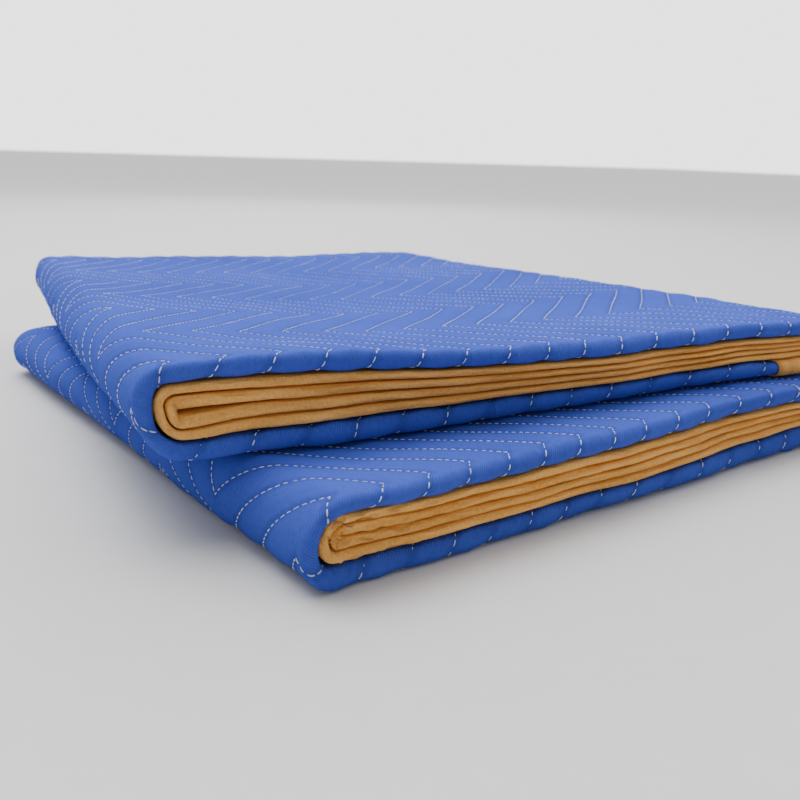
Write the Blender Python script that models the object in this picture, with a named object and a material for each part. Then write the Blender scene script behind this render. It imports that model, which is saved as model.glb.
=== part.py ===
"""A quilted moving blanket, folded into a flat stack of sixteen layers.

The blanket is one quilted cloth, 72 by 80 inches, with woven tape bound over its four edges. Each
piece is made flat, as the maker cuts it, and is then folded by one function. A point of the flat
cloth is (u, v, t): u runs along the 72 inch side, v along the 80 inch side, and t is the height
above the middle of the cloth, towards the face that ends up outside.

First the 80 inch side is folded in half twice, which makes a strip of four layers. Then both ends
of the strip are folded to its middle, and the two halves are shut on each other like a book. The
lower half lies turned a few degrees from the upper one, because the last fold runs askew.
"""

import math

import bmesh
import bpy

INCH = 0.0254

# The flat cloth
CUT_U = 72 * INCH
CUT_V = 80 * INCH
THICK = 0.0042
EDGE_THICK = 0.0020
BLUE = (0.075, 0.165, 0.56, 1.0)

# The stack: one layer is the cloth and the air above it
LAYER = 0.0050
STRIP = 4 * LAYER
STACK = 16 * LAYER
AIR = 0.00055

# The binding tape
TAPE_THICK = 0.0005
TAPE_SIDE = 1.0 * INCH
ORANGE = (0.55, 0.20, 0.035, 1.0)

# The zigzag quilting, raised on the top of the stack
ROW_PITCH = 1.0 * INCH
ZIG_HALF = 3.1 * INCH
ZIG_SWING = 2.83 * INCH
RELIEF = 0.0007

# The folds across v
TURN_FRONT = math.pi * LAYER / 2
TURN_BACK = math.pi * 1.5 * LAYER
DEPTH = (CUT_V - 2 * TURN_FRONT - TURN_BACK) / 4

# How much the turned folds bulge at the front edge: far from the left folds, and beside them
FULL_FRONT = 0.55
FLAT_FRONT = -0.15
FULL_REACH = 0.034

# The folds across u: their lengths are those of the outer layer
TURN_LEFT = math.pi * 3.4 * LAYER
TURN_RIGHT = math.pi * 8.2 * LAYER
RIGHT_BULGE = 1.30
END_INSET = 0.038
PANEL = (CUT_U - 2 * TURN_LEFT - TURN_RIGHT + END_INSET) / 4
END_PANEL = PANEL - END_INSET

# The fold between the halves runs askew, and the lower half has slipped along it.
# Its left corners are drawn in: the back one by TUCK, the front one by DRAW.
SKEW = math.radians(4.4)
SLIP_OUT = 0.034
SLIP_FRONT = 0.0
TUCK = 0.070
TUCK_REACH = 0.25
DRAW = 0.009
DRAW_REACH = 0.10

# Unevenness of the stack
LOFT = 0.20
LOFT_REACH = 0.15
FLARE = 0.025
PINCH = 0.03
PINCH_REACH = 0.10
LIFT = 0.005
LIFT_REACH = 0.045
DISH = 0.005
BACK_SAG = 0.15
SLACK = 0.0035

# Where each stretch of u begins
U_LEFT_UP = END_PANEL
U_TOP = U_LEFT_UP + TURN_LEFT
U_RIGHT = U_TOP + PANEL
U_BOTTOM = U_RIGHT + TURN_RIGHT / math.cos(SKEW)
U_LEFT_LOW = U_RIGHT + TURN_RIGHT + PANEL
U_LAST = U_LEFT_LOW + TURN_LEFT

# Where each stretch of v begins
V_INNER_BACK = DEPTH
V_SECOND = V_INNER_BACK + TURN_FRONT
V_FRONT = V_SECOND + DEPTH
V_FIRST = V_FRONT + TURN_FRONT
V_OUTER_BACK = V_FIRST + DEPTH
V_LAST = V_OUTER_BACK + TURN_BACK

# A corner of the zigzag lies just behind the turned front edge
APEX_V = V_FIRST + 0.004


def smooth(a):
    """Rise from 0 to 1 without a corner."""
    a = min(max(a, 0.0), 1.0)
    return a * a * (3 - 2 * a)


def hump(a):
    """Rise from 0 at a = 0 to 1 halfway and fall back to 0 at a = 1."""
    return math.sin(math.pi * min(max(a, 0.0), 1.0))


def section(v, t):
    """Fold the 80 inch side: depth behind the front edge, and depth below the strip's outer face."""
    if v < V_INNER_BACK:
        return v, 2.5 * LAYER - t
    if v < V_SECOND:
        turn = math.pi * (v - V_INNER_BACK) / TURN_FRONT
        reach = LAYER / 2 - t
        return DEPTH + reach * math.sin(turn), 2 * LAYER + reach * math.cos(turn)
    if v < V_FRONT:
        return V_FRONT - v, 1.5 * LAYER + t
    if v < V_FIRST:
        turn = math.pi * (v - V_FRONT) / TURN_FRONT
        reach = LAYER / 2 + t
        return -reach * math.sin(turn), LAYER + reach * math.cos(turn)
    if v < V_OUTER_BACK:
        return v - V_FIRST, 0.5 * LAYER - t
    if v < V_LAST:
        turn = math.pi * (v - V_OUTER_BACK) / TURN_BACK
        reach = 1.5 * LAYER + t
        return DEPTH + reach * math.sin(turn), 2 * LAYER - reach * math.cos(turn)
    return DEPTH - (v - V_LAST), 3.5 * LAYER + t


def fuller_front(u, y, w):
    """Let the turned folds bulge at the front edge, and the bound edges open near the left folds."""
    from_fold = min(max(U_LEFT_UP - u, u - U_TOP), max(U_LEFT_LOW - u, u - U_LAST))
    share = FLAT_FRONT + (FULL_FRONT - FLAT_FRONT) * min(max(from_fold / PANEL, 0.0), 1.0)
    share *= 1 - smooth(y / FULL_REACH)
    return w + share * LAYER * math.sin(math.pi * w / STRIP)


def lower_plan(along, y):
    """Place a point of the lower half in plan, turned by twice the skew, its left corners drawn in."""
    turned = 2 * SKEW
    from_left = along + U_LEFT_LOW - U_RIGHT
    drawn = DRAW * math.exp(-(from_left * from_left + y * y) / DRAW_REACH**2)
    start_x = PANEL + TURN_RIGHT * math.cos(SKEW) + SLIP_OUT
    start_y = TURN_RIGHT * math.sin(SKEW) + SLIP_FRONT
    y -= TUCK * smooth(y / DEPTH) * smooth(1 - from_left / TUCK_REACH)
    along, y = along + drawn, y + drawn / 3
    x = start_x + along * math.cos(turned) - y * math.sin(turned)
    return x, start_y + along * math.sin(turned) + y * math.cos(turned)


def behind_lower_front(x, y):
    """Distance in plan behind the lower half's front edge, or 0 in front of it."""
    start_x, start_y = lower_plan(0.0, 0.0)
    return max((start_x - x) * math.sin(2 * SKEW) + (y - start_y) * math.cos(2 * SKEW), 0.0)


def stack(u, y, w):
    """Fold the strip: its two ends to the middle, then one half under the other."""
    if u < U_LEFT_UP:
        return U_LEFT_UP - u, y, STACK / 2 + w
    if u < U_TOP:
        turn = math.pi * (u - U_LEFT_UP) / TURN_LEFT
        reach = STRIP - w
        return -reach * math.sin(turn), y, 3 * STRIP - reach * math.cos(turn)
    if u < U_LEFT_LOW:
        return middle_fold(u - U_RIGHT, y, w)
    along = U_RIGHT - U_LEFT_LOW
    if u < U_LAST:
        turn = math.pi * (u - U_LEFT_LOW) / TURN_LEFT
        reach = STRIP - w
        x, y = lower_plan(along - reach * math.sin(turn), y)
        return x, y, STRIP - reach * math.cos(turn)
    x, y = lower_plan(along + u - U_LAST, y)
    return x, y, STACK / 2 - w


def middle_fold(past, y, w):
    """Lay the top panel, the askew fold at the right and the bottom panel."""
    across = past * math.cos(SKEW) + y * math.sin(SKEW)
    if across <= 0:
        return PANEL + past, y, STACK - w
    if across >= TURN_RIGHT:
        x, y = lower_plan(-past, y)
        return x, y, w
    turn = math.pi * across / TURN_RIGHT
    reach = STACK / 2 - w
    done = smooth(turn / math.pi)
    along = -past * math.sin(SKEW) + y * math.cos(SKEW)
    out = RIGHT_BULGE * reach * math.sin(turn)
    x = PANEL + out * math.cos(SKEW) - along * math.sin(SKEW) + SLIP_OUT * done
    y = out * math.sin(SKEW) + along * math.cos(SKEW) + SLIP_FRONT * done
    return x, y, STACK / 2 + reach * math.cos(turn)


def settle(x, y, z):
    """Make the stack uneven. Each step shifts along one axis only, so layers never cross."""
    corner_x, corner_y = lower_plan(U_RIGHT - U_LEFT_LOW, 0.0)
    apart = math.hypot(x - corner_x, y - corner_y) / PINCH_REACH
    base = (LAYER - THICK) / 2
    z = base + (z - base) * (1 - PINCH * math.exp(-apart * apart)) * (1 - BACK_SAG * smooth(y / DEPTH))
    z += LIFT * math.sin(math.pi * z / STACK) * math.exp(-((behind_lower_front(x, y) / LIFT_REACH) ** 2))
    over = max(z - STACK / 2, 0.0)
    z += over * LOFT * math.exp(-max(x + STRIP, 0.0) / LOFT_REACH)
    z -= DISH * hump(x / PANEL) * hump(y / DEPTH) * over / (STACK / 2)
    x += FLARE * smooth((x - PANEL / 2) / (PANEL / 2)) * (1 - y / DEPTH)
    height = z / STACK
    y += SLACK * math.sin(17 * x + 5 * height) * math.sin(5 * height)
    x += SLACK * math.sin(11 * y + 4 * height)
    return x, y, z


def folded(u, v, t):
    """Move a point of the flat cloth to its place in the folded stack."""
    y, w = section(v, t)
    return settle(*stack(u, y, fuller_front(u, y, w)))


def stretch(start, end, steps):
    """Even steps from start up to, but not including, end."""
    return [start + (end - start) * i / steps for i in range(steps)]


def columns():
    """Stations along u: coarse on hidden panels, half a quilting row apart on the top."""
    near_fold = 0.10
    top = round(2 * PANEL / ROW_PITCH) - 2
    return (
        [0.0, TAPE_SIDE + 0.001, TAPE_SIDE + 0.008]
        + stretch(0.12, U_LEFT_UP - near_fold, 3)
        + stretch(U_LEFT_UP - near_fold, U_LEFT_UP, 2)
        + stretch(U_LEFT_UP, U_TOP, 5)
        + stretch(U_TOP, U_RIGHT, top)
        + stretch(U_RIGHT, U_BOTTOM, 6)
        + stretch(U_BOTTOM, U_LEFT_LOW - near_fold, 2)
        + stretch(U_LEFT_LOW - near_fold, U_LEFT_LOW, 2)
        + stretch(U_LEFT_LOW, U_LAST, 5)
        + stretch(U_LAST, U_LAST + near_fold, 2)
        + stretch(U_LAST + near_fold, CUT_U - 0.06, 3)
        + [CUT_U - TAPE_SIDE - 0.008, CUT_U - TAPE_SIDE - 0.001, CUT_U]
    )


def depths():
    """Distances behind the front edge: where the tape ends, then the corners of the zigzag."""
    return [TAPE_SIDE + 0.008] + [APEX_V - V_FIRST + ZIG_HALF * i for i in range(1, 7)]


def rows():
    """Stations along v. All four layers have theirs at the same depths, so that they nest."""
    bound = [0.0, TAPE_SIDE + 0.001] + depths()
    return (
        bound
        + stretch(V_INNER_BACK, V_SECOND, 2)
        + [V_SECOND]
        + [V_FRONT - y for y in reversed(depths())]
        + stretch(V_FRONT, V_FIRST, 4)
        + [V_FIRST]
        + [V_FIRST + y for y in depths()]
        + stretch(V_OUTER_BACK, V_LAST, 4)
        + [V_LAST]
        + [CUT_V - y for y in reversed(bound)]
    )


def zigzag(v):
    """Sideways swing of a quilting row at v. It fades out on the hidden layers."""
    if v < V_FIRST:
        return ZIG_SWING / 2 * min(max((v - V_SECOND) / DEPTH, 0.0), 1.0)
    if v > V_OUTER_BACK:
        return zigzag(V_OUTER_BACK) * (1 - min(max((v - V_LAST) / DEPTH, 0.0), 1.0))
    phase = abs((v - APEX_V) / ZIG_HALF) % 2
    return ZIG_SWING * (0.5 - min(phase, 2 - phase))


def askew(u, y):
    """Slant the stations near the middle fold so that they lie along it."""
    rise = smooth((u - (U_TOP + 0.20)) / (U_RIGHT - 0.02 - U_TOP - 0.20))
    fall = 1 - smooth((u - U_BOTTOM - 0.02) / 0.20)
    return u - y * math.tan(SKEW) * min(rise, fall)


def on_top(u):
    """Weight of the quilting: 1 inside the top panel, 0 at its folds."""
    return smooth((u - U_TOP - 0.004) / 0.10) * smooth((U_RIGHT - 0.004 - u) / 0.10)


def cloth_point(i, j, side, all_u, all_v):
    """Flat place of grid point i, j on the outer (side 1) or inner (side -1) face."""
    u, v = all_u[i], all_v[j]
    edge = min(u, CUT_U - u, v, CUT_V - v)
    bound = EDGE_THICK / 2
    half = bound + (THICK / 2 - bound) * smooth((edge - TAPE_SIDE - 0.001) / 0.006)
    weight = on_top(u)
    if side > 0 and V_FIRST <= v < V_OUTER_BACK:
        half += RELIEF * weight * (1 if i % 2 else -1)
    y, _ = section(v, 0.0)
    return askew(u, y) + weight * zigzag(v), v, side * half


def make_object(name, bm, colour, roughness, owner):
    """Turn a bmesh into a named, smooth shaded object with its own material."""
    bmesh.ops.recalc_face_normals(bm, faces=bm.faces)
    if bm.calc_volume(signed=True) < 0:
        bmesh.ops.reverse_faces(bm, faces=bm.faces)
    mesh = bpy.data.meshes.new(name)
    bm.to_mesh(mesh)
    bm.free()
    mesh.shade_smooth()
    mesh.set_sharp_from_angle(angle=math.radians(50))
    material = bpy.data.materials.new(name + "_cloth")
    material.use_nodes = True
    shader = material.node_tree.nodes["Principled BSDF"]
    shader.inputs["Base Color"].default_value = colour
    shader.inputs["Roughness"].default_value = roughness
    shader.inputs["Metallic"].default_value = 0.0
    material.diffuse_color = colour
    mesh.materials.append(material)
    owner.objects.link(bpy.data.objects.new(name, mesh))


def flat_slab(across, along):
    """A flat grid given a thickness. Its points keep whole numbers: column, row and side."""
    bm = bmesh.new()
    bmesh.ops.create_grid(bm, x_segments=across, y_segments=along, size=1.0)
    for vert in bm.verts:
        vert.co.x = round((vert.co.x + 1) * across / 2)
        vert.co.y = round((vert.co.y + 1) * along / 2)
    bmesh.ops.solidify(bm, geom=bm.faces[:] + bm.edges[:] + bm.verts[:], thickness=1.0)
    heights = [vert.co.z for vert in bm.verts]
    middle = (min(heights) + max(heights)) / 2
    for vert in bm.verts:
        vert.co.z = 1 if vert.co.z > middle else -1
    return bm


def make_quilt(owner):
    """The quilted cloth, folded."""
    all_u, all_v = columns(), rows()
    bm = flat_slab(len(all_u) - 1, len(all_v) - 1)
    for vert in bm.verts:
        i, j, side = round(vert.co.x), round(vert.co.y), round(vert.co.z)
        vert.co = folded(*cloth_point(i, j, side, all_u, all_v))
    make_object("quilt", bm, BLUE, 0.9, owner)


# The tape is folded over an edge: its stations are the distance from its middle line and the part
# of the half turn round the edge that they have made
TAPE_STATIONS = ((-1.0, 0.0), (0.0, 0.0), (0.0, 0.5), (0.0, 1.0), (1.0, 1.0))


def tape_point(station, side):
    """Distance from the cloth's edge and height t of a point of the tape's section."""
    along, turned = TAPE_STATIONS[station]
    reach = EDGE_THICK / 2 + AIR + (TAPE_THICK if side > 0 else 0.0)
    turn = math.pi * turned
    inward = TAPE_SIDE * abs(along)
    return inward - reach * math.sin(turn), reach * math.cos(turn)


def make_long_binding(name, far, owner):
    """Tape over one 72 inch edge, which runs round every fold of the strip."""
    all_u = columns()
    bm = flat_slab(len(all_u) - 1, len(TAPE_STATIONS) - 1)
    for vert in bm.verts:
        i, station, side = round(vert.co.x), round(vert.co.y), round(vert.co.z)
        inward, t = tape_point(station, side)
        v = CUT_V - inward if far else inward
        y, _ = section(v, 0.0)
        vert.co = folded(askew(all_u[i], y), v, t)
    make_object(name, bm, ORANGE, 0.85, owner)


def make_end_binding(name, far, owner):
    """Tape over one 80 inch edge, between the two long bindings."""
    start = TAPE_SIDE + 0.0012
    all_v = [v for v in rows() if start < v < CUT_V - start]
    all_v = [start] + all_v + [CUT_V - start]
    bm = flat_slab(len(all_v) - 1, len(TAPE_STATIONS) - 1)
    for vert in bm.verts:
        j, station, side = round(vert.co.x), round(vert.co.y), round(vert.co.z)
        inward, t = tape_point(station, side)
        vert.co = folded(CUT_U - inward if far else inward, all_v[j], t)
    make_object(name, bm, ORANGE, 0.85, owner)


def stand_on_floor(owner):
    """Put the middle of the stack's base at the origin."""
    points = [vert.co for obj in owner.objects for vert in obj.data.vertices]
    middle_x = (min(p.x for p in points) + max(p.x for p in points)) / 2
    middle_y = (min(p.y for p in points) + max(p.y for p in points)) / 2
    base = min(p.z for p in points)
    for obj in owner.objects:
        for vert in obj.data.vertices:
            vert.co.x -= middle_x
            vert.co.y -= middle_y
            vert.co.z -= base


def main():
    for obj in list(bpy.data.objects):
        bpy.data.objects.remove(obj, do_unlink=True)
    owner = bpy.data.collections.new("moving_blanket")
    bpy.context.scene.collection.children.link(owner)
    make_quilt(owner)
    make_long_binding("binding_near", False, owner)
    make_long_binding("binding_far", True, owner)
    make_end_binding("binding_end_upper", False, owner)
    make_end_binding("binding_end_lower", True, owner)
    stand_on_floor(owner)


main()
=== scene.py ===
"""The looks of a folded moving blanket: quilted blue cloth, white zigzag sewing, orange bindings.

The cloth is made flat and folded by the same function as the solids, with finer stations. A point
of the flat cloth is (u, v, t): u along the 72 inch side, v along the 80 inch side, t above the
middle of the cloth. All the folding functions take numpy arrays.
"""

import math

import bpy
import numpy as np
from mathutils import Matrix, Vector


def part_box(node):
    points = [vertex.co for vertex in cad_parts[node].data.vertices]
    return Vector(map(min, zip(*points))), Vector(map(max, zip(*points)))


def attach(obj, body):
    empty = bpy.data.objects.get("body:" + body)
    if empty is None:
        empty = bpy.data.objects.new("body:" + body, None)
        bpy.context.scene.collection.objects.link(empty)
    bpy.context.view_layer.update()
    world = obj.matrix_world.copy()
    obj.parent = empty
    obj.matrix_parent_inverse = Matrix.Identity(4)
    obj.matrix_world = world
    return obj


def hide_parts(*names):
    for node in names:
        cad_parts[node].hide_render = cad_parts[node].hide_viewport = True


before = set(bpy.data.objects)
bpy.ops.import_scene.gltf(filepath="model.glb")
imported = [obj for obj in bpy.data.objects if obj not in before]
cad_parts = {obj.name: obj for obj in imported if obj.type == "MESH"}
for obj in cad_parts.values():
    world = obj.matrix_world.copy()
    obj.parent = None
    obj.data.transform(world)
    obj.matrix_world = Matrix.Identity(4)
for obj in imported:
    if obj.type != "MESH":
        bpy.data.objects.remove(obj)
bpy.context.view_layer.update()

INCH = 0.0254

# The flat cloth and the stack, as the solids have them
CUT_U = 72 * INCH
CUT_V = 80 * INCH
THICK = 0.0042
EDGE_THICK = 0.0020
LAYER = 0.0050
STRIP = 4 * LAYER
STACK = 16 * LAYER
BASE = (LAYER - THICK) / 2
TAPE_SIDE = 1.0 * INCH

# The folds, as the solids have them
TURN_FRONT = math.pi * LAYER / 2
TURN_BACK = math.pi * 1.5 * LAYER
DEPTH = (CUT_V - 2 * TURN_FRONT - TURN_BACK) / 4
FULL_FRONT = 0.55
FLAT_FRONT = -0.15
FULL_REACH = 0.034
TURN_LEFT = math.pi * 3.4 * LAYER
TURN_RIGHT = math.pi * 8.2 * LAYER
RIGHT_BULGE = 1.30
END_INSET = 0.038
PANEL = (CUT_U - 2 * TURN_LEFT - TURN_RIGHT + END_INSET) / 4
SKEW = math.radians(4.4)
SLIP_OUT = 0.034
SLIP_FRONT = 0.0
TUCK = 0.070
TUCK_REACH = 0.25
DRAW = 0.009
DRAW_REACH = 0.10
LOFT = 0.20
LOFT_REACH = 0.15
FLARE = 0.025
PINCH = 0.03
PINCH_REACH = 0.10
LIFT = 0.005
LIFT_REACH = 0.045
RISE = 0.0055
RISE_X = 0.075
RISE_REACH_X = 0.06
RISE_REACH_Y = 0.045
DISH = 0.010
BACK_SAG = 0.15
SLACK = 0.0035

# Where each stretch of u and of v begins
U_LEFT_UP = PANEL - END_INSET
U_TOP = U_LEFT_UP + TURN_LEFT
U_RIGHT = U_TOP + PANEL
U_BOTTOM = U_RIGHT + TURN_RIGHT / math.cos(SKEW)
U_LEFT_LOW = U_RIGHT + TURN_RIGHT + PANEL
U_LAST = U_LEFT_LOW + TURN_LEFT
V_INNER_BACK = DEPTH
V_SECOND = V_INNER_BACK + TURN_FRONT
V_FRONT = V_SECOND + DEPTH
V_FIRST = V_FRONT + TURN_FRONT
V_OUTER_BACK = V_FIRST + DEPTH
V_LAST = V_OUTER_BACK + TURN_BACK

# Small dents and wavers of the whole stack
DENT = 0.0008
WAVER = 0.0005

# How much further the upper free end reaches at the front than at the back
END_STRETCH = 0.020

# The hollow in the upper left fold
HOLLOW = 0.0026
HOLLOW_X = 0.004
HOLLOW_REACH = 0.017
HOLLOW_DEPTH = 0.045
HOLLOW_EDGE = 0.0016
HOLLOW_FADE = 0.0065

# The zigzag quilting
ROW_PITCH = 1.0 * INCH
ZIG_HALF = 3.1 * INCH
ZIG_SWING = 2.83 * INCH
APEX_V = V_FIRST + 0.004
FIRST_ROW_X = 0.001
ROW_START = (U_TOP + FIRST_ROW_X - ZIG_SWING / 2) % ROW_PITCH
GROOVE = 0.0009
GROOVE_REACH = 0.0065
PUFF = 0.00035
STITCH = 0.0029
STITCH_PITCH = 0.0037
THREAD = 0.00027
ROW_MARGIN = 0.003


def smooth(a):
    """Rise from 0 to 1 without a corner."""
    a = np.clip(a, 0.0, 1.0)
    return a * a * (3 - 2 * a)


def hump(a):
    """Rise from 0 at a = 0 to 1 halfway and fall back to 0 at a = 1."""
    return np.sin(math.pi * np.clip(a, 0.0, 1.0))


def section(v, t):
    """Fold the 80 inch side: depth behind the front edge, and depth below the strip's outer face."""
    inner = math.pi * (v - V_INNER_BACK) / TURN_FRONT
    front = math.pi * (v - V_FRONT) / TURN_FRONT
    outer = math.pi * (v - V_OUTER_BACK) / TURN_BACK
    near, over, wide = LAYER / 2 - t, LAYER / 2 + t, 1.5 * LAYER + t
    where = [v < V_INNER_BACK, v < V_SECOND, v < V_FRONT, v < V_FIRST, v < V_OUTER_BACK, v < V_LAST]
    y = np.select(
        where,
        [v, DEPTH + near * np.sin(inner), V_FRONT - v, -over * np.sin(front), v - V_FIRST,
         DEPTH + wide * np.sin(outer)],
        DEPTH - (v - V_LAST),
    )
    w = np.select(
        where,
        [2.5 * LAYER - t, 2 * LAYER + near * np.cos(inner), 1.5 * LAYER + t,
         LAYER + over * np.cos(front), 0.5 * LAYER - t, 2 * LAYER - wide * np.cos(outer)],
        3.5 * LAYER + t,
    )
    return y, w


def lower_plan(along, y):
    """Place a point of the lower half in plan, turned by twice the skew, its left corners drawn in."""
    turned = 2 * SKEW
    from_left = along + U_LEFT_LOW - U_RIGHT
    drawn = DRAW * np.exp(-(from_left * from_left + y * y) / DRAW_REACH**2)
    y = y - TUCK * smooth(y / DEPTH) * smooth(1 - from_left / TUCK_REACH)
    along, y = along + drawn, y + drawn / 3
    x = PANEL + TURN_RIGHT * math.cos(SKEW) + SLIP_OUT + along * math.cos(turned) - y * math.sin(turned)
    return x, TURN_RIGHT * math.sin(SKEW) + SLIP_FRONT + along * math.sin(turned) + y * math.cos(turned)


def behind_lower_front(x, y):
    """Distance in plan behind the lower half's front edge, or 0 in front of it."""
    start_x, start_y = lower_plan(0.0, 0.0)
    behind = (start_x - x) * math.sin(2 * SKEW) + (y - start_y) * math.cos(2 * SKEW)
    return np.maximum(behind, 0.0)


def stack(u, y, w):
    """Fold the strip: its two ends to the middle, then one half under the other."""
    reach = STRIP - w
    up = math.pi * (u - U_LEFT_UP) / TURN_LEFT
    low = math.pi * (u - U_LEFT_LOW) / TURN_LEFT
    middle = middle_fold(u - U_RIGHT, y, w)
    corner = U_RIGHT - U_LEFT_LOW
    low_turn = lower_plan(corner - reach * np.sin(low), y)
    longer = END_STRETCH * np.clip(1 - u / U_LEFT_UP, 0.0, 1.0) ** 2 * (1 - smooth(y / DEPTH))
    last = lower_plan(corner + u - U_LAST, y)
    where = [u < U_LEFT_UP, u < U_TOP, u < U_LEFT_LOW, u < U_LAST]
    x = np.select(where, [U_LEFT_UP - u + longer, -reach * np.sin(up), middle[0], low_turn[0]], last[0])
    z = np.select(
        where,
        [STACK / 2 + w, 3 * STRIP - reach * np.cos(up), middle[2], STRIP - reach * np.cos(low)],
        STACK / 2 - w,
    )
    y = np.select(where, [y, y, middle[1], low_turn[1]], last[1])
    return x, y, z


def middle_fold(past, y, w):
    """Lay the top panel, the askew fold at the right and the bottom panel."""
    across = past * math.cos(SKEW) + y * math.sin(SKEW)
    turn = math.pi * np.clip(across / TURN_RIGHT, 0.0, 1.0)
    reach = STACK / 2 - w
    done = smooth(turn / math.pi)
    along = -past * math.sin(SKEW) + y * math.cos(SKEW)
    out = RIGHT_BULGE * reach * np.sin(turn)
    x = PANEL + out * math.cos(SKEW) - along * math.sin(SKEW) + SLIP_OUT * done
    turned_y = out * math.sin(SKEW) + along * math.cos(SKEW) + SLIP_FRONT * done
    low = lower_plan(-past, y)
    where = [across <= 0, across < TURN_RIGHT]
    return (
        np.select(where, [PANEL + past, x], low[0]),
        np.select(where, [y, turned_y], low[1]),
        np.select(where, [STACK - w, STACK / 2 + reach * np.cos(turn)], w),
    )


def settle(x, y, z):
    """Make the stack uneven, as the solids are."""
    corner_x, corner_y = lower_plan(U_RIGHT - U_LEFT_LOW, 0.0)
    apart = np.hypot(x - corner_x, y - corner_y) / PINCH_REACH
    z = BASE + (z - BASE) * (1 - PINCH * np.exp(-apart * apart)) * (1 - BACK_SAG * smooth(y / DEPTH))
    z = z + LIFT * np.sin(math.pi * z / STACK) * np.exp(-((behind_lower_front(x, y) / LIFT_REACH) ** 2))
    over = np.maximum(z - STACK / 2, 0.0)
    z = z + over * LOFT * np.exp(-np.maximum(x + STRIP, 0.0) / LOFT_REACH)
    risen = np.exp(-(((x - RISE_X) / RISE_REACH_X) ** 2) - (y / RISE_REACH_Y) ** 2)
    z = z + RISE * risen * over / (STACK / 2)
    z = z - DISH * hump(x / PANEL) * hump(y / DEPTH) * over / (STACK / 2)
    x = x + FLARE * smooth((x - PANEL / 2) / (PANEL / 2)) * (1 - y / DEPTH)
    height = z / STACK
    y = y + SLACK * np.sin(17 * x + 5 * height) * np.sin(5 * height)
    x = x + SLACK * np.sin(11 * y + 4 * height)
    return x, y, z


def opened(u, x, y, z):
    """Part the two innermost layers of the upper left fold at the front edge, where a hollow shows."""
    from_middle = z - 3 * STRIP
    here = np.exp(-(((x - HOLLOW_X) / HOLLOW_REACH) ** 2))
    here = here * (1 - smooth(y / HOLLOW_DEPTH)) * (u < U_RIGHT)
    push = np.tanh(from_middle / HOLLOW_EDGE) * np.exp(-np.abs(from_middle) / HOLLOW_FADE)
    return x, y, z + HOLLOW * here * push


def ripple(x, y, z):
    """Small dents of the soft stack. They fade out at the floor, where it lies flat."""
    height = np.clip(z / STACK, 0.0, 1.2)
    dents = (
        np.sin(31 * x + 12 * y + 0.7) * np.sin(23 * y - 9 * x + 1.9)
        + 0.6 * np.sin(57 * x - 35 * y) * np.sin(49 * y + 21 * x + 0.4)
    )
    z = z + DENT * height * dents
    y = y + DENT * np.sin(41 * x + 3.0 * height) + WAVER * np.sin(97 * x + 5.0 * height + 1.0)
    return x, y, z


def fuller_front(u, y, w):
    """Let the turned folds bulge at the front edge, and the bound edges open near the left folds."""
    upper = np.maximum(U_LEFT_UP - u, u - U_TOP)
    lower = np.maximum(U_LEFT_LOW - u, u - U_LAST)
    share = FLAT_FRONT + (FULL_FRONT - FLAT_FRONT) * np.clip(np.minimum(upper, lower) / PANEL, 0.0, 1.0)
    share = share * (1 - smooth(y / FULL_REACH))
    return w + share * LAYER * np.sin(math.pi * w / STRIP)


def folded(u, v, t):
    """Move points of the flat cloth to their places in the folded stack."""
    u, v, t = np.broadcast_arrays(np.asarray(u, float), np.asarray(v, float), np.asarray(t, float))
    y, w = section(v, t)
    x, y, z = opened(u, *stack(u, y, fuller_front(u, y, w)))
    x, y, z = ripple(*settle(x, y, z))
    return np.stack([x, y, z], axis=-1)


def zigzag(v):
    """Sideways swing of a quilting row at v, from minus a half to a half of its full swing."""
    phase = np.abs((v - APEX_V) / ZIG_HALF) % 2
    return ZIG_SWING * (0.5 - np.minimum(phase, 2 - phase))


def row_distance(u, v):
    """Distance from the nearest quilting row, measured along u."""
    part = (u - ROW_START - zigzag(v)) / ROW_PITCH
    return np.abs(part - np.round(part)) * ROW_PITCH


def cloth_half(u, v):
    """Half the cloth's thickness: less where the tape grips its edges."""
    edge = np.minimum(np.minimum(u, CUT_U - u), np.minimum(v, CUT_V - v))
    bound = EDGE_THICK / 2
    return bound + (THICK / 2 - bound) * smooth((edge - TAPE_SIDE - 0.001) / 0.006)


def outer_face(u, v):
    """Height of the outer face: it sinks along each quilting row."""
    inside = smooth((np.minimum(u, CUT_U - u) - TAPE_SIDE) / 0.01)
    inside = inside * smooth((np.minimum(v, CUT_V - v) - TAPE_SIDE) / 0.01)
    near = np.exp(-((row_distance(u, v) / GROOVE_REACH) ** 2))
    puff = PUFF * (1 - near) * np.sin(90 * u + 40 * v) * np.sin(70 * v - 30 * u)
    return cloth_half(u, v) - inside * (GROOVE * near - puff)


def stations(*stretches):
    """Stations along a side of the cloth. A stretch is its start, its end and its number of steps."""
    parts = [np.linspace(start, end, steps, endpoint=False) for start, end, steps in stretches]
    return np.concatenate(parts + [np.array([stretches[-1][1]])])


def slab_mesh(name, top, bottom, top_uv):
    """A closed mesh between two grids of points, with the flat cloth's own place as its UV map."""
    rows, cols = top.shape[:2]
    index = np.arange(rows * cols).reshape(rows, cols)
    a, b, c, d = index[:-1, :-1], index[:-1, 1:], index[1:, 1:], index[1:, :-1]
    upper = np.stack([a, b, c, d], axis=-1).reshape(-1, 4)
    lower = np.stack([d, c, b, a], axis=-1).reshape(-1, 4) + rows * cols
    rim = np.concatenate([index[0, :], index[1:, -1], index[-1, -2::-1], index[-2:0:-1, 0]])
    after = np.roll(rim, -1)
    skirt = np.stack([after, rim, rim + rows * cols, after + rows * cols], axis=-1)
    faces = np.concatenate([upper, lower, skirt])
    points = np.concatenate([top.reshape(-1, 3), bottom.reshape(-1, 3)])
    uv = np.concatenate([top_uv.reshape(-1, 2)] * 2)
    return mesh_object(name, points, faces, uv)


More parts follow.
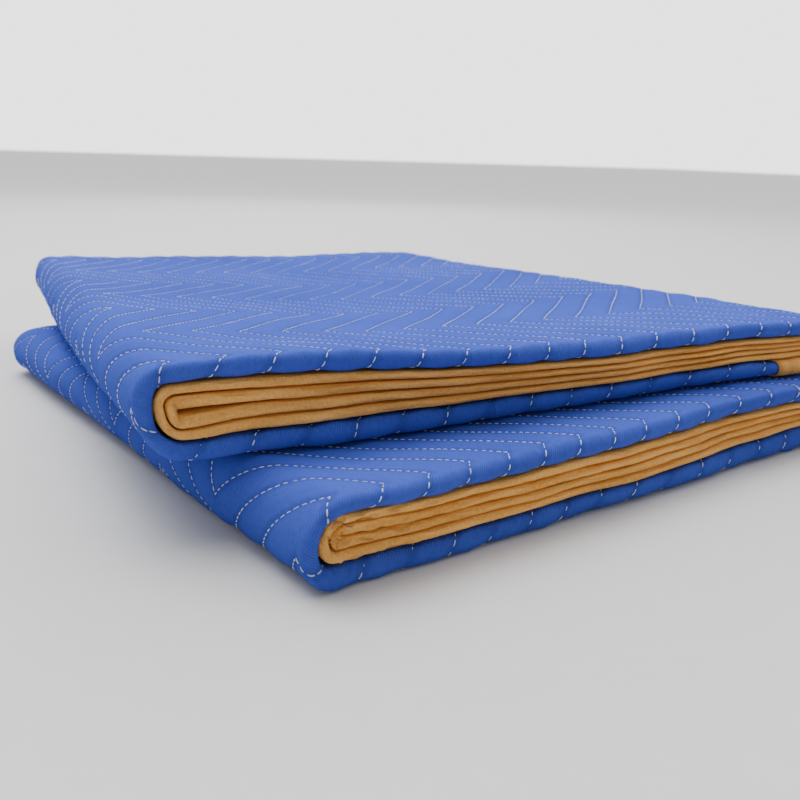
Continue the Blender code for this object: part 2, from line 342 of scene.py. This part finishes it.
def mesh_object(name, points, faces, uv=None):
    """An object from arrays of points and of faces that all have as many corners."""
    corners = faces.shape[1]
    mesh = bpy.data.meshes.new(name)
    mesh.vertices.add(len(points))
    mesh.vertices.foreach_set("co", np.ascontiguousarray(points, np.float32).ravel())
    mesh.loops.add(faces.size)
    mesh.loops.foreach_set("vertex_index", faces.astype(np.int32).ravel())
    mesh.polygons.add(len(faces))
    mesh.polygons.foreach_set("loop_start", np.arange(0, faces.size, corners, dtype=np.int32))
    mesh.update(calc_edges=True)
    if uv is not None:
        layer = mesh.uv_layers.new(name="cloth")
        layer.data.foreach_set("uv", uv[faces.ravel()].astype(np.float32).ravel())
    mesh.shade_smooth()
    obj = bpy.data.objects.new(name, mesh)
    bpy.context.scene.collection.objects.link(obj)
    return obj


TAPE_OUTER = EDGE_THICK / 2 + 0.00105
TAPE_INNER = EDGE_THICK / 2 + 0.00055


def find_shift():
    """From the folding functions' corner to the part's origin, by the binding of the lower free end."""
    low, high = (np.array(c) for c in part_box("binding_end_lower"))
    v = np.linspace(TAPE_SIDE, CUT_V - TAPE_SIDE, 400)[:, None]
    u = np.array([[CUT_U - TAPE_SIDE, CUT_U]])
    both = folded(u, v, TAPE_OUTER), folded(u, v, -TAPE_OUTER)
    points = np.concatenate([p.reshape(-1, 3) for p in both])
    shift = (low + high) / 2 - (points.min(0) + points.max(0)) / 2
    shift[2] = -BASE
    return shift


SHIFT = find_shift()


def placed(points):
    """Points of the folding functions in the part's own frame."""
    return points + SHIFT


# Materials

BLUE_DARK = (0.036, 0.060, 0.33, 1.0)
BLUE_PALE = (0.070, 0.120, 0.60, 1.0)
# Colour of the painted shade in the grooves of the quilting rows
BLUE_ROW_SHADE = (0.018, 0.030, 0.17, 1.0)
ORANGE_DARK = (0.50, 0.195, 0.032, 1.0)
ORANGE_PALE = (0.98, 0.53, 0.15, 1.0)
THREAD_GREY = (0.52, 0.56, 0.64, 1.0)
THREAD_WHITE = (0.86, 0.88, 0.92, 1.0)
FLOOR_DARK = (0.60, 0.60, 0.60, 1.0)
FLOOR_PALE = (0.64, 0.64, 0.64, 1.0)


class Nodes:
    """Short names for building a node tree."""

    def __init__(self, name):
        self.material = bpy.data.materials.new(name)
        self.material.use_nodes = True
        self.tree = self.material.node_tree
        self.shader = self.tree.nodes["Principled BSDF"]

    def link(self, value, socket):
        if isinstance(value, bpy.types.NodeSocket):
            self.tree.links.new(value, socket)
        else:
            socket.default_value = value

    def math(self, operation, a, b=0.0, c=None):
        node = self.tree.nodes.new("ShaderNodeMath")
        node.operation = operation
        self.link(a, node.inputs[0])
        self.link(b, node.inputs[1])
        if c is not None:
            self.link(c, node.inputs[2])
        return node.outputs[0]

    def cloth_place(self):
        """The flat cloth's u and v, in metres, and the vector that holds them."""
        uv = self.tree.nodes.new("ShaderNodeUVMap")
        uv.uv_map = "cloth"
        parts = self.tree.nodes.new("ShaderNodeSeparateXYZ")
        self.tree.links.new(uv.outputs[0], parts.inputs[0])
        return parts.outputs[0], parts.outputs[1], uv.outputs[0]

    def noise(self, vector, scale, detail=3.0, rough=0.55):
        node = self.tree.nodes.new("ShaderNodeTexNoise")
        self.link(vector, node.inputs["Vector"])
        node.inputs["Scale"].default_value = scale
        node.inputs["Detail"].default_value = detail
        node.inputs["Roughness"].default_value = rough
        return node.outputs["Fac"]

    def scaled(self, vector, scale):
        node = self.tree.nodes.new("ShaderNodeMapping")
        self.link(vector, node.inputs["Vector"])
        node.inputs["Scale"].default_value = scale
        return node.outputs[0]

    def remap(self, value, low, high, to_low=0.0, to_high=1.0, kind="SMOOTHSTEP"):
        node = self.tree.nodes.new("ShaderNodeMapRange")
        node.interpolation_type = kind
        self.link(value, node.inputs["Value"])
        node.inputs["From Min"].default_value = low
        node.inputs["From Max"].default_value = high
        node.inputs["To Min"].default_value = to_low
        node.inputs["To Max"].default_value = to_high
        return node.outputs[0]

    def mix(self, factor, a, b):
        node = self.tree.nodes.new("ShaderNodeMix")
        node.data_type = "RGBA"
        self.link(factor, node.inputs["Factor"])
        self.link(a, node.inputs[6])
        self.link(b, node.inputs[7])
        return node.outputs[2]

    def bump(self, height, distance, strength=1.0, normal=None):
        node = self.tree.nodes.new("ShaderNodeBump")
        self.link(height, node.inputs["Height"])
        node.inputs["Distance"].default_value = distance
        node.inputs["Strength"].default_value = strength
        if normal is not None:
            self.tree.links.new(normal, node.inputs["Normal"])
        return node.outputs[0]

    def wave(self, u, v, along_u, along_v):
        """A sine from 0 to 1 with so many turns a metre along u and along v."""
        across = self.math("MULTIPLY", v, along_v * 2 * math.pi)
        turns = self.math("MULTIPLY_ADD", u, along_u * 2 * math.pi, across)
        return self.math("MULTIPLY_ADD", self.math("SINE", turns), 0.5, 0.5)


def quilt_material():
    """Blue woven polyester: a fine diagonal rib, painted shade along the sunken quilting rows, and
    puckers along the rows.
    """
    n = Nodes("quilted_blue")
    u, v, place = n.cloth_place()
    swing = n.math("PINGPONG", n.math("SUBTRACT", v, APEX_V), ZIG_HALF)
    swing = n.math("MULTIPLY_ADD", swing, -ZIG_SWING / ZIG_HALF, ZIG_SWING / 2)
    from_row = n.math("SUBTRACT", n.math("SUBTRACT", u, ROW_START), swing)
    from_row = n.math("PINGPONG", from_row, ROW_PITCH / 2)
    # 0 on a row and 1 away from it: it drives the painted shade of the rows and the bump of the puffs
    puff = n.remap(from_row, 0.0, 0.0055)
    rib = n.wave(u, v, 780.0, -860.0)
    cross = n.wave(u, v, 1500.0, 640.0)
    broad = n.noise(place, 9.0, 4.0)
    fuzz = n.noise(place, 420.0, 2.0)
    tone = n.math("MULTIPLY_ADD", broad, 0.55, n.math("MULTIPLY", fuzz, 0.35))
    tone = n.math("MULTIPLY_ADD", rib, 0.22, tone)
    colour = n.mix(n.remap(tone, 0.25, 0.85, kind="LINEAR"), BLUE_DARK, BLUE_PALE)
    # Painted shade: the colour darkens along each quilting row, where the groove lies in shade
    colour = n.mix(n.remap(puff, 0.0, 1.0, 0.30, 0.0, "LINEAR"), colour, BLUE_ROW_SHADE)
    n.link(colour, n.shader.inputs["Base Color"])
    weave = n.math("MULTIPLY_ADD", cross, 0.45, rib)
    normal = n.bump(weave, 0.00022, 0.8)
    pucker = n.noise(n.scaled(place, (150.0, 60.0, 1.0)), 1.0, 2.0)
    ridge = n.math("MULTIPLY", pucker, n.remap(from_row, 0.001, 0.010, 1.0, 0.15))
    normal = n.bump(ridge, 0.0012, 0.8, normal)
    normal = n.bump(puff, 0.0007, 0.8, normal)
    n.tree.links.new(normal, n.shader.inputs["Normal"])
    n.link(n.remap(fuzz, 0.3, 0.7, 0.62, 0.78, "LINEAR"), n.shader.inputs["Roughness"])
    n.shader.inputs["Sheen Weight"].default_value = 0.05
    n.shader.inputs["Sheen Roughness"].default_value = 0.5
    n.shader.inputs["Sheen Tint"].default_value = (0.35, 0.50, 1.0, 1.0)
    n.shader.inputs["Specular IOR Level"].default_value = 0.0
    return n.material


def tape_material():
    """Orange woven tape: cross ribs, mottled in long streaks, the dark streaks being painted shade for
    its creases.
    """
    n = Nodes("binding_orange")
    u, v, place = n.cloth_place()
    rib = n.wave(u, v, 900.0, 380.0)
    cross = n.wave(u, v, 300.0, -1100.0)
    # The long dark streaks of this mottle are painted shade for the tape's creases; the bumped creases
    # use a noise of their own
    broad = n.noise(n.scaled(place, (22.0, 160.0, 1.0)), 1.0, 4.0)
    fuzz = n.noise(place, 700.0, 2.0)
    tone = n.math("MULTIPLY_ADD", broad, 0.7, n.math("MULTIPLY", fuzz, 0.4))
    tone = n.math("MULTIPLY_ADD", rib, 0.10, tone)
    colour = n.mix(n.remap(tone, 0.30, 0.80, kind="LINEAR"), ORANGE_DARK, ORANGE_PALE)
    n.link(colour, n.shader.inputs["Base Color"])
    normal = n.bump(n.math("MULTIPLY_ADD", cross, 0.6, rib), 0.00009, 0.5)
    crease = n.noise(n.scaled(place, (38.0, 330.0, 1.0)), 1.0, 4.0, 0.6)
    normal = n.bump(crease, 0.0024, 0.9, normal)
    n.tree.links.new(normal, n.shader.inputs["Normal"])
    n.link(n.remap(fuzz, 0.3, 0.7, 0.60, 0.75, "LINEAR"), n.shader.inputs["Roughness"])
    n.shader.inputs["Sheen Weight"].default_value = 0.08
    n.shader.inputs["Sheen Tint"].default_value = (1.0, 0.6, 0.25, 1.0)
    n.shader.inputs["Specular IOR Level"].default_value = 0.05
    return n.material


def thread_material():
    """White polyester thread, twisted, greyer in random patches."""
    n = Nodes("thread_white")
    u, v, place = n.cloth_place()
    twist = n.wave(u, v, 1300.0, 1300.0)
    # A noise that mixes the thread towards grey in random patches
    grey_patches = n.noise(place, 60.0, 3.0)
    tone = n.math("MULTIPLY_ADD", grey_patches, 0.8, n.math("MULTIPLY", twist, 0.2))
    colour = n.mix(n.remap(tone, 0.3, 0.8, kind="LINEAR"), THREAD_GREY, THREAD_WHITE)
    n.link(colour, n.shader.inputs["Base Color"])
    n.tree.links.new(n.bump(twist, 0.0001, 0.5), n.shader.inputs["Normal"])
    n.shader.inputs["Roughness"].default_value = 0.55
    n.shader.inputs["Sheen Weight"].default_value = 0.2
    return n.material


# Pieces


def cloth_rows():
    """Stations along v: fine on the outermost layer, coarse on the layers inside."""
    return stations(
        (0.0, TAPE_SIDE, 4),
        (TAPE_SIDE, 0.04, 5),
        (0.04, V_INNER_BACK, 6),
        (V_INNER_BACK, V_SECOND, 5),
        (V_SECOND, V_FRONT - 0.03, 6),
        (V_FRONT - 0.03, V_FRONT, 5),
        (V_FRONT, V_FIRST, 12),
        (V_FIRST, V_OUTER_BACK, 142),
        (V_OUTER_BACK, V_LAST, 12),
        (V_LAST, CUT_V - 0.04, 8),
        (CUT_V - 0.04, CUT_V - TAPE_SIDE, 5),
        (CUT_V - TAPE_SIDE, CUT_V, 4),
    )


U_SEAM = U_BOTTOM + 0.05


def quilt_piece(name, all_u, material):
    """One half of the cloth. The halves meet under the stack."""
    all_v = cloth_rows()
    u, v = np.meshgrid(all_u, all_v)
    top = placed(folded(u, v, outer_face(u, v)))
    bottom = placed(folded(u, v, -cloth_half(u, v)))
    piece = slab_mesh(name, top, bottom, np.stack([u, v], axis=-1))
    piece.data.materials.append(material)
    return piece


TAPE_STEPS = 6
TAPE_ARC = 7
CRUMPLE_LOWER = 0.060
CRUMPLE_UPPER = 0.035
CRUMPLE = 0.0022


def tape_section():
    """Stations round the folded tape: distance in from the cloth's edge, and part of the half turn."""
    side = np.linspace(1.0, 0.0, TAPE_STEPS, endpoint=False)
    arc = np.linspace(0.0, 1.0, TAPE_ARC)
    inward = np.concatenate([side, np.zeros(TAPE_ARC), side[::-1]])
    turned = np.concatenate([np.zeros(TAPE_STEPS), arc, np.ones(TAPE_STEPS)])
    return inward * TAPE_SIDE, turned


def wrinkle(along, place, seed):
    """Small folds of the tape: a sum of waves along it, different on each binding."""
    return (
        np.sin(59 * along + seed + 2 * place)
        + 0.7 * np.sin(151 * along + 2.1 * seed - 3 * place)
        + 0.45 * np.sin(389 * along + 3.7 * seed + 5 * place)
        + 0.25 * np.sin(877 * along + 1.3 * seed - 7 * place)
    )


def tape_surface(along, far, inward, turned, reach, seed, on_u):
    """Points of one face of a tape over the cloth's edge. It is crumpled at the left folds."""
    turn = math.pi * turned
    nose = np.sin(turn)
    crumple = 0.0
    if on_u:
        lower, upper = (U_LEFT_LOW + U_LAST) / 2, (U_LEFT_UP + U_TOP) / 2
        crumple = np.exp(-(((along - lower) / CRUMPLE_LOWER) ** 2))
        crumple = crumple + 0.45 * np.exp(-(((along - upper) / CRUMPLE_UPPER) ** 2))
    waver = wrinkle(along, turned, seed)
    creases = np.sin(430 * along + 3.5 * turn + seed) * np.sin(190 * along + seed) - 0.4
    creases = np.where(creases < 0, 1.3 * creases, 0.8 * creases)
    out = reach * nose * (1.3 + 0.22 * waver) + nose * crumple * CRUMPLE * creases
    t = reach * np.cos(turn) * (1 - 0.05 * nose * waver)
    t = t + nose * (0.0003 * wrinkle(along, 0.0, 2 * seed + 1) + 0.0008 * crumple * creases)
    cut = CUT_V if on_u else CUT_U
    across = inward - out
    across = cut - across if far else across
    return folded(along, across, t) if on_u else folded(across, along, t)


def binding(name, all_along, far, on_u, seed, material):
    """Tape folded over one edge of the cloth, its two faces a tape's thickness apart."""
    inward, turned = tape_section()
    along, inward = np.meshgrid(all_along, inward)
    turned = np.meshgrid(all_along, turned)[1]
    outer = tape_surface(along, far, inward, turned, TAPE_OUTER, seed, on_u)
    inner = tape_surface(along, far, inward, turned, TAPE_INNER, seed, on_u)
    width = inward * np.where(turned > 0.5, 1, -1) + turned * 0.006
    uv = np.stack([along, width + seed], axis=-1)
    piece = slab_mesh(name, placed(outer), placed(inner), uv)
    piece.data.materials.append(material)
    return piece


def row_points(k, all_v):
    """Quilting row k at the stations all_v."""
    return ROW_START + k * ROW_PITCH + zigzag(all_v)


def stitches(name, shown, material):
    """Every stitch of the rows where the function shown says that the cloth is in sight."""
    slope = math.hypot(1.0, ZIG_SWING / ZIG_HALF)
    step = STITCH_PITCH / slope
    centres = np.arange(TAPE_SIDE + 0.004, CUT_V - TAPE_SIDE - 0.004, step)
    first = math.floor(-ZIG_SWING / ROW_PITCH) - 1
    last = math.ceil((CUT_U + ZIG_SWING) / ROW_PITCH) + 1
    rng = np.random.default_rng(7)
    u_all, v_all = [], []
    for k in range(first, last):
        v = centres + step * 0.37 * (k % 3) + rng.normal(0, 0.00012, len(centres))
        u = row_points(k, v)
        inside = (u > TAPE_SIDE + ROW_MARGIN) & (u < CUT_U - TAPE_SIDE - ROW_MARGIN)
        keep = inside & shown(u, v)
        u_all.append(u[keep])
        v_all.append(v[keep])
    u, v = np.concatenate(u_all), np.concatenate(v_all)
    half = STITCH / 2 / slope * rng.uniform(0.85, 1.1, len(v))
    lean = rng.normal(0, 0.00010, len(v))
    return stitch_mesh(name, u, v, half, lean, material)


def stitch_mesh(name, u, v, half, lean, material):
    """Spindles of thread that bow out of the cloth and dip into it at both ends."""
    ring = np.array([(-1.0, 0.0), (-0.55, 0.85), (0.55, 0.85), (1.0, 0.0), (0.0, -0.4)])
    places = np.array([-0.72, -0.25, 0.25, 0.72])
    fat = np.array([0.75, 1.0, 1.0, 0.75])
    surface = outer_face(u, v)

    def spot(s, across, up):
        """A point at s along the stitch, moved across it and up from the cloth."""
        at_v = v + s * half
        at_u = u + zigzag(at_v) - zigzag(v) + lean * s + across
        return folded(at_u, at_v, surface + 0.00012 + up - 0.00024 * s * s)

    tips = [spot(-1.0, 0.0, 0.0), spot(1.0, 0.0, 0.0)]
    rings = [
        [spot(s, THREAD * r[0] * f * 1.3, THREAD * r[1] * f) for r in ring] for s, f in zip(places, fat)
    ]
    points = np.stack([tips[0]] + [p for one in rings for p in one] + [tips[1]], axis=1)
    each = points.shape[1]
    count = len(ring)
    faces = []
    for i in range(count):
        j = (i + 1) % count
        faces.append((0, 1 + j, 1 + i))
        for r in range(len(places) - 1):
            a, b = 1 + r * count + i, 1 + r * count + j
            c, d = a + count, b + count
            faces.append((a, b, d))
            faces.append((a, d, c))
        base = 1 + (len(places) - 1) * count
        faces.append((base + i, base + j, each - 1))
    faces = np.array(faces)[None] + (np.arange(len(u)) * each)[:, None, None]
    uv = np.repeat(np.stack([u, v], axis=-1), each, axis=0)
    uv = uv + np.tile(np.linspace(-0.001, 0.001, each)[:, None], (len(u), 2))
    piece = mesh_object(name, placed(points.reshape(-1, 3)), faces.reshape(-1, 3), uv)
    piece.data.materials.append(material)
    return piece


def on_outer_layer(v):
    """Whether v lies on the strip's outermost layer or the folds that bound it."""
    return (v > V_FRONT) & (v < V_LAST)


def on_edges(v):
    """Whether v lies on the folds that show as bands at the front and the back of the stack."""
    front = (v > V_FRONT - 0.004) & (v < V_FIRST + 0.05)
    back = (v > V_OUTER_BACK - 0.03) & (v < V_LAST + 0.004)
    return front | back


def shown_on_top(u, v):
    """The top panel and its left fold."""
    return on_outer_layer(v) & (u > U_LEFT_UP - 0.01) & (u < U_RIGHT - 0.02)


def shown_at_right(u, v):
    """The fold that joins the halves."""
    return on_outer_layer(v) & (u >= U_RIGHT - 0.02) & (u < U_BOTTOM + 0.06)


def shown_below(u, v):
    """The lower half: its own left fold and front, and the front and back bands of hidden panels."""
    edge = on_edges(v) & ((u <= U_LEFT_UP - 0.01) | (u >= U_BOTTOM + 0.06))
    wide = (v > V_FRONT) & (v < V_FIRST + 0.11) & (u > U_LAST - 0.005)
    left = on_outer_layer(v) & (u > U_LEFT_LOW - 0.02) & (u < U_LAST + 0.06)
    return edge | wide | left


def build_blanket():
    """All the pieces, tied to the root body, with the part's own plain pieces hidden."""
    quilt, tape, thread = quilt_material(), tape_material(), thread_material()
    upper = stations(
        (0.0, TAPE_SIDE, 5),
        (TAPE_SIDE, U_LEFT_UP, 34),
        (U_LEFT_UP, U_TOP, 20),
        (U_TOP, U_RIGHT - 0.04, 108),
        (U_RIGHT - 0.04, U_BOTTOM, 40),
        (U_BOTTOM, U_SEAM, 4),
    )
    lower = stations(
        (U_SEAM, U_LEFT_LOW, 34),
        (U_LEFT_LOW, U_LAST, 20),
        (U_LAST, CUT_U - TAPE_SIDE, 108),
        (CUT_U - TAPE_SIDE, CUT_U, 5),
    )
    quilt_upper = quilt_piece("quilt_upper", upper, quilt)
    quilt_lower = quilt_piece("quilt_lower", lower, quilt)
    along_u = np.linspace(0.0, CUT_U, 900)
    start = TAPE_SIDE + 0.0012
    along_v = stations(
        (start, V_INNER_BACK, 120),
        (V_INNER_BACK, V_SECOND, 10),
        (V_SECOND, V_FRONT, 130),
        (V_FRONT, V_FIRST, 16),
        (V_FIRST, V_OUTER_BACK, 130),
        (V_OUTER_BACK, V_LAST, 16),
        (V_LAST, CUT_V - start, 120),
    )
    near = binding("binding_near_tape", along_u, False, True, 0.3, tape)
    far = binding("binding_far_tape", along_u, True, True, 1.9, tape)
    end_upper = binding("binding_end_upper_tape", along_v, False, False, 3.1, tape)
    end_lower = binding("binding_end_lower_tape", along_v, True, False, 4.6, tape)
    sewing = [
        stitches("sewing_top", shown_on_top, thread),
        stitches("sewing_right", shown_at_right, thread),
        stitches("sewing_lower", shown_below, thread),
    ]
    for piece in (quilt_upper, quilt_lower, near, far, end_upper, end_lower, *sewing):
        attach(piece, "root")
    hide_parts("quilt")
    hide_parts("binding_near")
    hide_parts("binding_far")
    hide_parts("binding_end_upper")
    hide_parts("binding_end_lower")


# Surroundings

LENS_PIXELS = 838.7
IMAGE_PIXELS = 800
SENSOR = 36.0
EYE = (-3.23 * INCH, -14.21 * INCH, 3.845 * INCH)
EYE_AZIMUTH = math.radians(-28.17)
EYE_DOWN = math.radians(16.46)
EYE_ROLL = math.radians(1.95)
FOCUS = 0.42
APERTURE = 18


def add_camera():
    """The photograph's viewpoint. It is placed from the first quilting corner of the top front edge."""
    corner = placed(np.array([FIRST_ROW_X, 0.004, STACK]))
    data = bpy.data.cameras.new("camera")
    data.sensor_width = SENSOR
    data.lens = LENS_PIXELS / IMAGE_PIXELS * SENSOR
    data.clip_start = 0.01
    data.dof.use_dof = True
    data.dof.focus_distance = FOCUS
    data.dof.aperture_fstop = APERTURE
    camera = bpy.data.objects.new("camera", data)
    bpy.context.scene.collection.objects.link(camera)
    camera.location = corner + np.array(EYE)
    camera.rotation_mode = "XYZ"
    a, e, r = EYE_AZIMUTH, EYE_DOWN, EYE_ROLL
    forward = np.array([-math.sin(a) * math.cos(e), math.cos(a) * math.cos(e), -math.sin(e)])
    right = np.array([math.cos(a), math.sin(a), 0.0])
    up = np.cross(right, forward)
    turned_right = math.cos(r) * right + math.sin(r) * up
    turned_up = -math.sin(r) * right + math.cos(r) * up
    turn = Matrix([turned_right, turned_up, -forward]).transposed()
    camera.rotation_euler = turn.to_euler()
    bpy.context.scene.camera = camera


def area_light(name, place, target, size, power):
    """A square soft light at place that faces target."""
    data = bpy.data.lights.new(name, "AREA")
    data.size = size
    data.energy = power
    light = bpy.data.objects.new(name, data)
    light.location = place
    light.rotation_euler = (Vector(target) - Vector(place)).to_track_quat("-Z", "Y").to_euler()
    bpy.context.scene.collection.objects.link(light)


def add_studio():
    """A pale floor, three soft lights and a world that is bright behind the blanket."""
    bpy.ops.mesh.primitive_plane_add(size=30, location=(0, 0, 0))
    floor = bpy.context.object
    floor.name = "floor"
    n = Nodes("floor_pale")
    coords = n.tree.nodes.new("ShaderNodeTexCoord")
    speck = n.noise(coords.outputs["Object"], 60.0)
    n.link(n.mix(speck, FLOOR_DARK, FLOOR_PALE), n.shader.inputs["Base Color"])
    n.shader.inputs["Roughness"].default_value = 0.9
    floor.data.materials.append(n.material)
    area_light("key", (-0.5, 0.6, 2.2), (0, 0, 0), 1.6, 55)
    area_light("fill", (-0.9, -2.0, 0.8), (0, 0, 0.05), 1.2, 8)
    area_light("back", (0.8, 1.9, 1.2), (0, 0, 0), 1.2, 14)
    world = bpy.data.worlds.new("world")
    world.use_nodes = True
    tree = world.node_tree
    coords = tree.nodes.new("ShaderNodeTexCoord")
    facing = tree.nodes.new("ShaderNodeVectorMath")
    facing.operation = "DOT_PRODUCT"
    facing.inputs[1].default_value = (0.45, 0.82, 0.35)
    strength = tree.nodes.new("ShaderNodeMapRange")
    strength.inputs["From Min"].default_value = -0.1
    strength.inputs["From Max"].default_value = 0.8
    strength.inputs["To Min"].default_value = 0.15
    strength.inputs["To Max"].default_value = 2.7
    tree.links.new(coords.outputs["Generated"], facing.inputs[0])
    tree.links.new(facing.outputs["Value"], strength.inputs["Value"])
    tree.links.new(strength.outputs[0], tree.nodes["Background"].inputs["Strength"])
    tree.nodes["Background"].inputs["Color"].default_value = (1, 1, 1, 1)
    bpy.context.scene.world = world


add_camera()
build_blanket()
add_studio()
